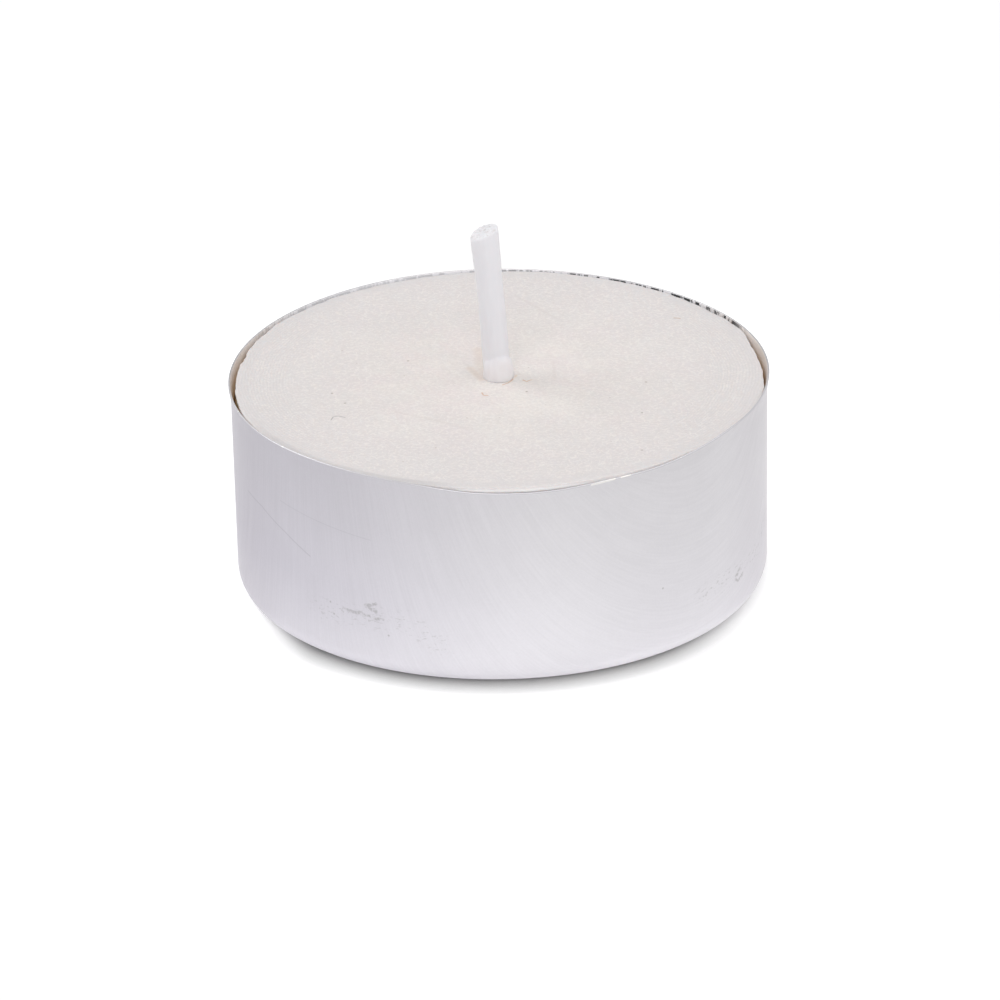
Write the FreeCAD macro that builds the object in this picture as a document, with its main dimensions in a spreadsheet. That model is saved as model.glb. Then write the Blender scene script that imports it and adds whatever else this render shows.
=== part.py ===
import FreeCAD, Part
import os
import Sketcher

# Tea light candle: a drawn aluminium cup holding a pressed puck of wax, with a waxed wick
# that stands in a crimped tin-plated sustainer under the puck.
# Millimetres, +Z up, origin at the middle of the surface that the cup stands on.

doc = FreeCAD.newDocument("tea_light_candle")

sizes = {
    # cup, outside sizes; the sheet has one thickness all over
    "wall_diameter": 37.9,
    "cup_height": 15.3,
    "cup_sheet": 0.2,
    "rim_flare": 0.2,
    "rim_flare_height": 1.0,
    "base_corner_radius": 1.5,
    "base_panel_diameter": 27.0,
    "base_panel_rise": 0.4,
    "base_panel_slope": 0.7,
    # pressed wax puck
    "wax_wall_gap": 0.2,
    "wax_below_rim": 0.05,
    "wax_top_bevel": 0.18,
    "wick_bore_gap": 0.08,
    # wick sustainer
    "sustainer_diameter": 12.5,
    "sustainer_sheet": 0.25,
    "sustainer_height": 4.5,
    "sustainer_root_bend": 0.3,
    "sustainer_seat_gap": 0.1,
    "neck_grip_gap": 0.02,
    "crimp_depth": 0.1,
    "crimp_length": 1.4,
    "crimp_below_mouth": 0.7,
    "crimp_count": 4,
    # wick
    "wick_diameter": 1.9,
    "wick_foot_gap": 0.2,
    "wick_standing": 11.15,
    "wick_lean": 4.4,
    "wick_bend_radius": 15.0,
    "wick_cut_slope": 22.0,
    "wick_cut_tilt": 10.0,
    "bead_width": 2.0,
    "bead_depth": 1.7,
    "bead_height": 1.9,
    "bead_to_right": 0.1,
    "bead_to_front": 0.3,
}

sheet = doc.addObject("Spreadsheet::Sheet", "Sizes")
for row, (name, value) in enumerate(sizes.items(), start=1):
    sheet.set(f"A{row}", name)
    sheet.set(f"B{row}", str(value))
    sheet.setAlias(f"B{row}", name)
doc.recompute()

# heights and radii that several pieces share
panelTop = "(Sizes.base_panel_rise + Sizes.cup_sheet)"
waxTop = "(Sizes.cup_height - Sizes.wax_below_rim)"
wallRadius = "(Sizes.wall_diameter / 2)"
wickRadius = "(Sizes.wick_diameter / 2)"
neckBore = f"({wickRadius} + Sizes.neck_grip_gap)"
neckRadius = f"({neckBore} + Sizes.sustainer_sheet)"
neckTop = f"({panelTop} + Sizes.sustainer_height)"
discRadius = "(Sizes.sustainer_diameter / 2)"
# the wick leaves the wax upright, bends through wick_lean and then runs straight to its cut
bendDrop = "(Sizes.wick_bend_radius * sin(Sizes.wick_lean * 1 deg))"
bendShift = "(Sizes.wick_bend_radius * (1 - cos(Sizes.wick_lean * 1 deg)))"
leanTan = "tan(Sizes.wick_lean * 1 deg)"
cutCentreX = f"(-{bendShift} - (Sizes.wick_standing - {bendDrop}) * {leanTan})"
cutCentreZ = f"({waxTop} + Sizes.wick_standing)"


def newBody(label):
    body = doc.addObject("PartDesign::Body", label)
    body.Label = label
    return body


def newSketch(body, name, role, lift=None):
    # role names one of the body's own origin planes; lift moves the sketch along its normal
    sketch = body.newObject("Sketcher::SketchObject", name)
    plane = next(item for item in body.Origin.OriginFeatures if item.Role == role)
    sketch.AttachmentSupport = [(plane, "")]
    sketch.MapMode = "FlatFace"
    if lift:
        sketch.setExpression("AttachmentOffset.Base.z", lift)
    return sketch


def number(item, expression):
    return float(item.evalExpression(expression))


def bindPoint(sketch, geometry, end, x, z):
    # ties one end of a sketch element to a place; "0" lays it on that axis
    if x == "0" and z == "0":
        sketch.addConstraint(Sketcher.Constraint("Coincident", geometry, end, -1, 1))
        return
    for kind, expression, axis in (("DistanceX", x, -2), ("DistanceY", z, -1)):
        if expression == "0":
            sketch.addConstraint(Sketcher.Constraint("PointOnObject", geometry, end, axis))
        else:
            start = number(sketch, expression)
            index = sketch.addConstraint(Sketcher.Constraint(kind, -1, 1, geometry, end, start))
            sketch.setExpression(f"Constraints[{index}]", expression)


def closedOutline(sketch, points):
    # straight sides from point to point
    places = [FreeCAD.Vector(number(sketch, x), number(sketch, z), 0) for x, z in points]
    count = len(points)
    for i in range(count):
        sketch.addGeometry(Part.LineSegment(places[i], places[(i + 1) % count]))
    for i in range(count):
        sketch.addConstraint(Sketcher.Constraint("Coincident", i, 2, (i + 1) % count, 1))
    for i, (x, z) in enumerate(points):
        bindPoint(sketch, i, 1, x, z)


def circle(sketch, radius):
    shape = Part.Circle(FreeCAD.Vector(0, 0, 0), FreeCAD.Vector(0, 0, 1), number(sketch, radius))
    sketch.addGeometry(shape)
    sketch.addConstraint(Sketcher.Constraint("Coincident", 0, 3, -1, 1))
    index = sketch.addConstraint(Sketcher.Constraint("Radius", 0, number(sketch, radius)))
    sketch.setExpression(f"Constraints[{index}]", radius)


def revolve(body, name, sketch):
    feature = body.newObject("PartDesign::Revolution", name)
    feature.Profile = sketch
    feature.ReferenceAxis = (sketch, ["V_Axis"])
    feature.Angle = 360
    sketch.Visibility = False
    doc.recompute()
    return feature


def ringEdges(feature, radius, height):
    # names of the circular edges of a turned shape that lie at this radius and height
    near = 1e-4
    radius = number(feature, radius)
    height = number(feature, height)
    names = []
    for i, edge in enumerate(feature.Shape.Edges, start=1):
        if not isinstance(edge.Curve, Part.Circle):
            continue
        if abs(edge.Curve.Radius - radius) < near and abs(edge.Curve.Center.z - height) < near:
            names.append(f"Edge{i}")
    return names


def roundRing(body, name, base, radius, height, bend):
    feature = body.newObject("PartDesign::Fillet", name)
    feature.Base = (base, ringEdges(base, radius, height))
    feature.Radius = number(base, bend)
    feature.setExpression("Radius", bend)
    doc.recompute()
    return feature


def bevelRing(body, name, base, radius, height, size):
    feature = body.newObject("PartDesign::Chamfer", name)
    feature.Base = (base, ringEdges(base, radius, height))
    feature.Size = number(base, size)
    feature.setExpression("Size", size)
    doc.recompute()
    return feature


def pocketFromBelow(body, name, sketch, depth):
    # cuts upwards, into the material above the sketch
    feature = body.newObject("PartDesign::Pocket", name)
    feature.Profile = sketch
    feature.Reversed = True
    if depth is None:
        feature.Type = "ThroughAll"
    else:
        feature.Type = "Length"
        feature.Length = number(sketch, depth)
        feature.setExpression("Length", depth)
    sketch.Visibility = False
    doc.recompute()
    return feature


def makeCup():
    # the outside of the drawn cup as a turned block, its corner rounded, then hollowed to one sheet
    body = newBody("cup")
    outside = newSketch(body, "cup_outside", "XZ_Plane")
    panelRadius = "(Sizes.base_panel_diameter / 2)"
    stepRadius = f"({panelRadius} - Sizes.base_panel_slope)"
    flareStart = "(Sizes.cup_height - Sizes.rim_flare_height)"
    closedOutline(outside, [
        ("0", "Sizes.base_panel_rise"),
        (stepRadius, "Sizes.base_panel_rise"),
        (panelRadius, "0"),
        (wallRadius, "0"),
        (wallRadius, flareStart),
        (f"{wallRadius} + Sizes.rim_flare", "Sizes.cup_height"),
        ("0", "Sizes.cup_height"),
    ])
    block = revolve(body, "cup_block", outside)
    corner = roundRing(body, "base_corner", block, wallRadius, "0", "Sizes.base_corner_radius")
    faces = corner.Shape.Faces
    top = max(range(len(faces)), key=lambda i: faces[i].CenterOfMass.z)
    shell = body.newObject("PartDesign::Thickness", "cup_shell")
    shell.Base = (corner, [f"Face{top + 1}"])
    shell.Reversed = True
    shell.Join = "Intersection"
    shell.Value = number(corner, "Sizes.cup_sheet")
    shell.setExpression("Value", "Sizes.cup_sheet")
    doc.recompute()
    return body


def makeWax():
    # a pressed puck: bevelled top edge, bottom edge cut back past the cup's inside corner,
    # and a stepped bore from below for the sustainer's disc, its neck and the wick
    body = newBody("wax")
    waxRadius = f"({wallRadius} - Sizes.cup_sheet - Sizes.wax_wall_gap)"
    disc = newSketch(body, "puck_outline", "XY_Plane", panelTop)
    circle(disc, waxRadius)
    puck = body.newObject("PartDesign::Pad", "puck")
    puck.Profile = disc
    puckHeight = f"{waxTop} - {panelTop}"
    puck.Length = number(disc, puckHeight)
    puck.setExpression("Length", puckHeight)
    disc.Visibility = False
    doc.recompute()
    bevel = bevelRing(body, "top_bevel", puck, waxRadius, waxTop, "Sizes.wax_top_bevel")
    bevelRing(body, "bottom_bevel", bevel, waxRadius, panelTop, "Sizes.base_corner_radius")

    recess = newSketch(body, "disc_recess_outline", "XY_Plane", panelTop)
    circle(recess, f"{discRadius} + Sizes.sustainer_seat_gap")
    recessDepth = "(Sizes.sustainer_sheet + Sizes.sustainer_seat_gap)"
    pocketFromBelow(body, "disc_recess", recess, recessDepth)

    socketRadius = f"({neckRadius} + Sizes.sustainer_seat_gap)"
    socket = newSketch(body, "neck_socket_outline", "XY_Plane", panelTop)
    circle(socket, socketRadius)
    cut = pocketFromBelow(body, "neck_socket", socket,
                          "Sizes.sustainer_height + Sizes.sustainer_seat_gap")
    mouth = bevelRing(body, "neck_socket_mouth", cut, socketRadius,
                      f"{panelTop} + {recessDepth}", "Sizes.sustainer_root_bend")

    bore = newSketch(body, "wick_bore_outline", "XY_Plane", panelTop)
    circle(bore, f"{wickRadius} + Sizes.wick_bore_gap")
    before = mouth.Shape.Volume
    through = pocketFromBelow(body, "wick_bore", bore, None)
    if not through.Shape.Volume < before:
        raise ValueError("the wick bore cuts nothing")
    return body


def makeSustainer():
    # one pressed sheet: a flat disc that turns up into a neck, crimped on the wick
    body = newBody("wick_sustainer")
    section = newSketch(body, "sustainer_section", "XZ_Plane")
    discTop = f"({panelTop} + Sizes.sustainer_sheet)"
    closedOutline(section, [
        (neckBore, panelTop),
        (discRadius, panelTop),
        (discRadius, discTop),
        (neckRadius, discTop),
        (neckRadius, neckTop),
        (neckBore, neckTop),
    ])
    blank = revolve(body, "sustainer_blank", section)
    # the turn is pressed flat at 45 degrees, one sheet thick
    root = bevelRing(body, "neck_root", blank, neckRadius, discTop, "Sizes.sustainer_root_bend")
    mouth = bevelRing(body, "neck_mouth", root, neckBore, panelTop,
                      "Sizes.sustainer_root_bend + Sizes.sustainer_sheet * (2 - sqrt(2))")

    # each crimp is a flat pressed into the outside of the neck, below its mouth
    crimpHigh = f"({neckTop} - Sizes.crimp_below_mouth)"
    crimpLow = f"({crimpHigh} - Sizes.crimp_length)"
    flat = newSketch(body, "crimp_outline", "XZ_Plane", f"{neckRadius} - Sizes.crimp_depth")
    closedOutline(flat, [
        (f"-{neckRadius}", crimpLow),
        (neckRadius, crimpLow),
        (neckRadius, crimpHigh),
        (f"-{neckRadius}", crimpHigh),
    ])
    crimp = body.newObject("PartDesign::Pocket", "crimp")
    crimp.Profile = flat
    crimp.Type = "Length"
    crimp.Length = number(flat, neckRadius)
    crimp.setExpression("Length", neckRadius)
    crimp.Reversed = True
    flat.Visibility = False
    doc.recompute()
    if not crimp.Shape.Volume < mouth.Shape.Volume:
        raise ValueError("the crimp cuts nothing")
    crimps = body.newObject("PartDesign::PolarPattern", "crimps")
    crimps.Originals = [crimp]
    axis = next(item for item in body.Origin.OriginFeatures if item.Role == "Z_Axis")
    crimps.Axis = (axis, [""])
    crimps.Angle = 360
    crimps.Occurrences = int(number(flat, "Sizes.crimp_count"))
    crimps.setExpression("Occurrences", "Sizes.crimp_count")
    body.Tip = crimps
    doc.recompute()
    return body


def makeWick():
    # a round waxed braid swept along its line, cut on the slant, with a bead of wax at its foot
    body = newBody("wick")
    foot = f"({panelTop} + Sizes.wick_foot_gap)"
    section = newSketch(body, "wick_section", "XY_Plane", foot)
    circle(section, wickRadius)

    # upright run, bend and leaning run, each tangent to the next; the last one overruns the cut
    line = newSketch(body, "wick_line", "XZ_Plane")
    lean = number(line, "Sizes.wick_lean * 1 deg / 1 rad")
    bend = number(line, "Sizes.wick_bend_radius")
    surface = number(line, waxTop)
    bendEnd = FreeCAD.Vector(-number(line, bendShift), surface + number(line, bendDrop), 0)
    endX = f"({cutCentreX} - Sizes.wick_diameter * {leanTan})"
    endZ = f"({cutCentreZ} + Sizes.wick_diameter)"
    end = FreeCAD.Vector(number(line, endX), number(line, endZ), 0)
    line.addGeometry(Part.LineSegment(FreeCAD.Vector(0, number(line, foot), 0),
                                      FreeCAD.Vector(0, surface, 0)))
    turn = Part.Circle(FreeCAD.Vector(-bend, surface, 0), FreeCAD.Vector(0, 0, 1), bend)
    line.addGeometry(Part.ArcOfCircle(turn, 0, lean))
    line.addGeometry(Part.LineSegment(bendEnd, end))
    line.addConstraint(Sketcher.Constraint("Tangent", 0, 2, 1, 1))
    line.addConstraint(Sketcher.Constraint("Tangent", 1, 2, 2, 1))
    bindPoint(line, 0, 1, "0", foot)
    bindPoint(line, 0, 2, "0", waxTop)
    index = line.addConstraint(Sketcher.Constraint("Radius", 1, bend))
    line.setExpression(f"Constraints[{index}]", "Sizes.wick_bend_radius")
    bindPoint(line, 2, 2, endX, endZ)
    doc.recompute()

    braid = body.newObject("PartDesign::AdditivePipe", "braid")
    braid.Profile = section
    braid.Spine = (line, ["Edge1", "Edge2", "Edge3"])
    section.Visibility = False
    line.Visibility = False
    doc.recompute()

    # the cut rises to the right and faces a little away from the front
    cutter = newSketch(body, "cut_outline", "XZ_Plane")
    cutter.AttachmentOffset = FreeCAD.Placement(
        FreeCAD.Vector(number(cutter, cutCentreX), number(cutter, cutCentreZ), 0),
        FreeCAD.Rotation(FreeCAD.Vector(1, 0, 0), number(cutter, "Sizes.wick_cut_tilt")))
    cutter.setExpression("AttachmentOffset.Base.x", cutCentreX)
    cutter.setExpression("AttachmentOffset.Base.y", cutCentreZ)
    cutter.setExpression("AttachmentOffset.Rotation.Angle", "Sizes.wick_cut_tilt * 1 deg")
    half = "(Sizes.wick_diameter)"
    rise = f"({half} * tan(Sizes.wick_cut_slope * 1 deg))"
    closedOutline(cutter, [
        (f"-{half}", f"-{rise}"),
        (half, rise),
        (half, f"{rise} + 2 * {half}"),
        (f"-{half}", f"{rise} + 2 * {half}"),
    ])
    cut = body.newObject("PartDesign::Pocket", "slant_cut")
    cut.Profile = cutter
    cut.Type = "ThroughAll"
    cut.Midplane = True
    cutter.Visibility = False
    doc.recompute()
    if not cut.Shape.Volume < braid.Shape.Volume:
        raise ValueError("the slanted cut removes nothing")

    # the bead stands on the wax and bulges from the wick to the right and the front
    bead = body.newObject("PartDesign::AdditiveEllipsoid", "bead")
    bead.Radius1 = number(cut, "Sizes.bead_height / 2")
    bead.Radius2 = number(cut, "Sizes.bead_width / 2")
    bead.Radius3 = number(cut, "Sizes.bead_depth / 2")
    bead.setExpression("Radius1", "Sizes.bead_height / 2")
    bead.setExpression("Radius2", "Sizes.bead_width / 2")
    bead.setExpression("Radius3", "Sizes.bead_depth / 2")
    bead.setExpression("Placement.Base.x", "Sizes.bead_to_right")
    bead.setExpression("Placement.Base.y", "-Sizes.bead_to_front")
    bead.setExpression("Placement.Base.z", f"{waxTop} + Sizes.bead_height / 2")
    doc.recompute()
    return body


bodies = [makeCup(), makeWax(), makeSustainer(), makeWick()]
doc.recompute()

for item in doc.Objects:
    if "Invalid" in item.State or "Error" in item.State:
        raise ValueError(f"{item.Label} did not compute")
for body in bodies:
    shape = body.Shape
    if shape.isNull() or not shape.isValid() or len(shape.Solids) != 1:
        raise ValueError(f"{body.Label} is not one valid solid")

os.makedirs("parts", exist_ok=True)
for body in bodies:
    body.Shape.exportStep(f"parts/{body.Label}.step")
    box = body.Shape.BoundBox
    print(f"{body.Label}: volume {body.Shape.Volume:.2f} mm3, faces {len(body.Shape.Faces)}, "
          f"x {box.XMin:.3f}..{box.XMax:.3f}, y {box.YMin:.3f}..{box.YMax:.3f}, "
          f"z {box.ZMin:.3f}..{box.ZMax:.3f}")
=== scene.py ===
import math
import bpy
import numpy as np
from mathutils import Matrix, Vector


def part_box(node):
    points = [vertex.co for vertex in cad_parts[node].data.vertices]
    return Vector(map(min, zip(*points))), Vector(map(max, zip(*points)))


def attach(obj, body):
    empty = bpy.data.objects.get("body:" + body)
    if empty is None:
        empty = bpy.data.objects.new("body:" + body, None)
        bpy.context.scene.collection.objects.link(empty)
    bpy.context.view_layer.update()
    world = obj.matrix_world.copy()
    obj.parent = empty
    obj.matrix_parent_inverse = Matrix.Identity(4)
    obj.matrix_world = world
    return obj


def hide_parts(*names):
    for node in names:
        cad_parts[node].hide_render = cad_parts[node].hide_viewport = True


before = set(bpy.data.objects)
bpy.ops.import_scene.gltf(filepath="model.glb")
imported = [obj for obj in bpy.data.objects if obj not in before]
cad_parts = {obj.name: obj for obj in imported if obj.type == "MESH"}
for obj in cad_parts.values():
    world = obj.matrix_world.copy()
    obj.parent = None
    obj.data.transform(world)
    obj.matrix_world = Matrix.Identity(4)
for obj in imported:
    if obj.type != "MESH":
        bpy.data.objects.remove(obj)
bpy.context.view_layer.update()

# Tea light candle in metres, +Z up, on the frame's origin. Azimuths are in degrees from the
# front (-Y), positive towards +X. Marks are placed in millimetres.
mm = 0.001
scene = bpy.context.scene
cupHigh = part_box("cup")[1]
waxLow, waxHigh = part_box("wax")
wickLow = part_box("wick")[0]


# meshes

def gridObject(name, points, ring=False):
    # points[row, column] joined into quads; columns close round the axis, and rows close too
    # where the outline is a ring, or else end in a fan round the middle of the end row
    rows, columns = points.shape[:2]
    index = np.arange(rows * columns).reshape(rows, columns)
    low = index if ring else index[:-1]
    high = np.roll(index, -1, axis=0) if ring else index[1:]
    quads = np.stack([low, np.roll(low, -1, axis=1), np.roll(high, -1, axis=1), high], axis=-1)
    faces = quads.reshape(-1, 4).tolist()
    places = points.reshape(-1, 3)
    if not ring:
        middles = np.stack([points[0].mean(axis=0), points[-1].mean(axis=0)])
        start, end = rows * columns, rows * columns + 1
        first, last = index[0], index[-1]
        faces += np.stack([np.full(columns, start), np.roll(first, -1), first], axis=-1).tolist()
        faces += np.stack([np.full(columns, end), last, np.roll(last, -1)], axis=-1).tolist()
        places = np.concatenate([places, middles])
    mesh = bpy.data.meshes.new(name)
    mesh.from_pydata(places.tolist(), [], faces)
    mesh.polygons.foreach_set("use_smooth", np.ones(len(faces), bool))
    mesh.update()
    piece = bpy.data.objects.new(name, mesh)
    scene.collection.objects.link(piece)
    return piece


def setAttribute(piece, name, *parts):
    # three numbers for each grid point; the middles of end fans, if any, take zero
    values = np.stack(np.broadcast_arrays(*parts), axis=-1).reshape(-1, 3)
    data = np.zeros((len(piece.data.vertices), 3), np.float32)
    data[:len(values)] = values
    piece.data.attributes.new(name, "FLOAT_VECTOR", "POINT").data.foreach_set("vector", data.ravel())


def compass(columns):
    # one row with the azimuth of each column of a grid, in degrees
    return np.arange(columns)[None, :] * 360 / columns


def turnFrom(centre, azimuth):
    # the angle from centre to azimuth the short way round: -180 to 180 degrees
    return (azimuth - centre + 180) % 360 - 180


def smooth(value, start, end):
    # 3t^2 - 2t^3 with t running 0 to 1 from start to end
    t = np.clip((value - start) / (end - start), 0, 1)
    return t * t * (3 - 2 * t)


def near(value, limit, band):
    # the same, with t running 0 to 1 from the band's first distance below the limit to its second
    return smooth(value, limit - band[0], limit - band[1])


def waves(azimuth, bumps):
    # sum of height * exp(-((azimuth - centre) / width)^2), the angle taken the short way round
    total = np.zeros_like(azimuth)
    for centre, width, height in bumps:
        total += height * np.exp(-(turnFrom(centre, azimuth) / width) ** 2)
    return total


def cloud(x, y, cell, seed):
    # value noise in -1..1: random numbers on a square lattice, blended smoothly inside each cell
    size = 64
    lattice = np.random.default_rng(seed).uniform(-1, 1, (size, size))
    u, v = x / cell, y / cell
    i, j = np.floor(u).astype(int), np.floor(v).astype(int)
    s, t = smooth(u - i, 0, 1), smooth(v - j, 0, 1)
    a, b = lattice[i % size, j % size], lattice[(i + 1) % size, j % size]
    c, d = lattice[i % size, (j + 1) % size], lattice[(i + 1) % size, (j + 1) % size]
    return (a * (1 - s) + b * s) * (1 - t) + (c * (1 - s) + d * s) * t


def clouds(x, y, layers):
    # sum of height * cloud over the layers, each a height, a cell and a seed
    return sum(height * cloud(x, y, cell, seed) for height, cell, seed in layers)


def roundedPath(corners, spacing, arcStep=10):
    # an (r, z) line through the corners (r, z, bend radius): each bend is an arc that starts
    # radius * tan(turn / 2) before its corner, cut about every arcStep degrees; runs are cut
    # by spacing
    places = np.array([corner[:2] for corner in corners])
    line = [places[:1]]
    for i in range(1, len(places)):
        along = places[i] - places[i - 1]
        along = along / np.linalg.norm(along)
        end = places[i]
        bend = corners[i][2]
        if bend:
            following = places[i + 1] - places[i]
            following = following / np.linalg.norm(following)
            turn = math.atan2(along[0] * following[1] - along[1] * following[0], along @ following)
            end = places[i] - along * bend * math.tan(abs(turn) / 2)
        start = line[-1][-1]
        steps = max(1, math.ceil(np.linalg.norm(end - start) / spacing))
        line.append(start + (end - start) * np.linspace(0, 1, steps + 1)[1:, None])
        if bend:
            side = np.array([-along[1], along[0]]) * math.copysign(1, turn)
            cuts = max(2, round(abs(math.degrees(turn)) / arcStep))
            angles = np.linspace(0, abs(turn), cuts + 1)[1:, None]
            line.append(end + bend * (np.sin(angles) * along + (1 - np.cos(angles)) * side))
    return np.concatenate(line)


def turned(radii, heights, azimuth):
    # places at these radii, heights and azimuths: (r sin a, -r cos a, z)
    angle = np.radians(azimuth)
    x, y = radii * np.sin(angle), -radii * np.cos(angle)
    return np.stack(np.broadcast_arrays(x, y, heights), axis=-1)


# shader nodes

class Shader:
    # a short way to write a node tree; the values given are numbers, colours or sockets
    def __init__(self, name):
        self.material = bpy.data.materials.new(name)
        self.material.use_nodes = True
        self.tree = self.material.node_tree
        self.tree.nodes.clear()

    def add(self, kind, inputs=None, **settings):
        node = self.tree.nodes.new("ShaderNode" + kind)
        for key, value in settings.items():
            setattr(node, key, value)
        for key, value in (inputs or {}).items():
            if isinstance(value, bpy.types.NodeSocket):
                self.tree.links.new(value, node.inputs[key])
            else:
                node.inputs[key].default_value = value
        return node

    def math(self, operation, x, y=0.0):
        return self.add("Math", {0: x, 1: y}, operation=operation).outputs[0]

    def fold(self, operation, first, *others):
        # the operation from left to right over all the values
        for other in others:
            first = self.math(operation, first, other)
        return first

    def times(self, *values):
        return self.fold("MULTIPLY", *values)

    def plus(self, *values):
        return self.fold("ADD", *values)

    def most(self, *values):
        return self.fold("MAXIMUM", *values)

    def minus(self, x, y):
        return self.math("SUBTRACT", x, y)

    def absolute(self, x):
        return self.math("ABSOLUTE", x)

    def vector(self, operation, x, y=(0, 0, 0)):
        node = self.add("VectorMath", {0: x, "Scale" if operation == "SCALE" else 1: y},
                        operation=operation)
        single = operation in ("LENGTH", "DISTANCE", "DOT_PRODUCT")
        return node.outputs["Value" if single else "Vector"]

    def step(self, value, start, end, low=0.0, high=1.0):
        # smooth step from low at start to high at end
        return self.add("MapRange", {"Value": value, 1: start, 2: end, 3: low, 4: high},
                        interpolation_type="SMOOTHSTEP").outputs[0]

    def mix(self, factor, x, y, blend="MIX"):
        return self.add("Mix", {0: factor, 6: x, 7: y}, data_type="RGBA", blend_type=blend).outputs[2]

    def noise(self, vector, scale, detail=2.0, roughness=0.5):
        return self.add("TexNoise", {"Vector": vector, "Scale": scale, "Detail": detail,
                                     "Roughness": roughness}).outputs[0]

    def noiseVector(self, vector, scale):
        return self.add("TexNoise", {"Vector": vector, "Scale": scale}).outputs["Color"]

    def attribute(self, name):
        return self.add("Attribute", attribute_name=name).outputs["Vector"]

    def parts(self, vector):
        return self.add("SeparateXYZ", {0: vector}).outputs

    def millimetres(self):
        return self.vector("SCALE", self.add("TexCoord").outputs["Object"], 1 / mm)

    def stretched(self, vector, x, y, z):
        return self.vector("MULTIPLY", vector, (x, y, z))

    def line(self, vector, path, width):
        # 1 on a line through the path's points, falling to 0 between a quarter of width and
        # width; for each run a to b the distance is |p - a - (b - a) t| with
        # t = (p - a) . (b - a) / |b - a|^2 clipped to 0..1
        masks = []
        for a, b in zip(path[:-1], path[1:]):
            a, b = Vector((*a, 0)), Vector((*b, 0))
            run = b - a
            offset = self.vector("SUBTRACT", vector, a)
            share = self.vector("DOT_PRODUCT", offset, run / run.length_squared)
            share = self.add("Clamp", {0: share}).outputs[0]
            nearest = self.vector("SCALE", run, share)
            masks.append(self.step(self.vector("DISTANCE", offset, nearest), 0.25 * width, width, 1.0, 0.0))
        return self.most(*masks)

    def lines(self, vector, paths, width):
        return self.most(*[self.line(vector, path, width) for path in paths])

    def dots(self, vector, places, radius):
        # 1 on each place, falling to 0 between 0.3 radius and radius
        masks = []
        for x, y in places:
            distance = self.vector("DISTANCE", vector, (x, y, 0))
            masks.append(self.step(distance, 0.3 * radius, radius, 1.0, 0.0))
        return self.most(*masks)

    def bump(self, height, strength, distance):
        return self.add("Bump", {"Height": height, "Strength": strength, "Distance": distance}).outputs[0]

    def finish(self, surface):
        self.add("OutputMaterial", {"Surface": surface})
        return self.material


def rgb(red, green, blue):
    # sRGB 0..255 to the linear colour that a shader takes
    srgb = np.array([red, green, blue]) / 255
    linear = np.where(srgb <= 0.04045, srgb / 12.92, ((srgb + 0.055) / 1.055) ** 2.4)
    return (*linear.tolist(), 1.0)


# cup

cup = dict(
    height=cupHigh.z,
    rimRadius=cupHigh.x,
    wallTop=19.0 * mm,
    wallBottom=18.9 * mm,
    sheet=0.2 * mm,
    # the sheet at the cut edge, and the distances below the rim between which it thins to that
    edgeSheet=0.13 * mm,
    thinning=(0.9 * mm, 0.2 * mm),
    flareHeight=1.0 * mm,
    flareBend=2.5 * mm,
    cornerRadius=1.5 * mm,
    panelRadius=13.5 * mm,
    panelSlope=0.7 * mm,
    panelRise=0.4 * mm,
    panelBend=0.3 * mm,
    # the trimmed edge isn't level: azimuth, width in degrees and height in mm of each wave
    edgeWaves=((-5, 11, -0.34), (10, 11.5, -0.40), (32, 13, -0.24), (-42, 16, 0.11), (57, 9, 0.08),
               (85, 36, 0.22), (143, 30, -0.08), (195, 28, 0.06)),
    waveStart=11.5 * mm,
    # azimuth of the direction across which the sheet's rolling lines run
    grainAzimuth=45,
    # the grid: columns, radius of its innermost row, spacing of its rows below and above
    # waveStart, and how many go round the lip, an odd number
    columns=640,
    innermost=0.4 * mm,
    lowerSpacing=1.0 * mm,
    upperSpacing=0.25 * mm,
    lipRows=7,
)


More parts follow.
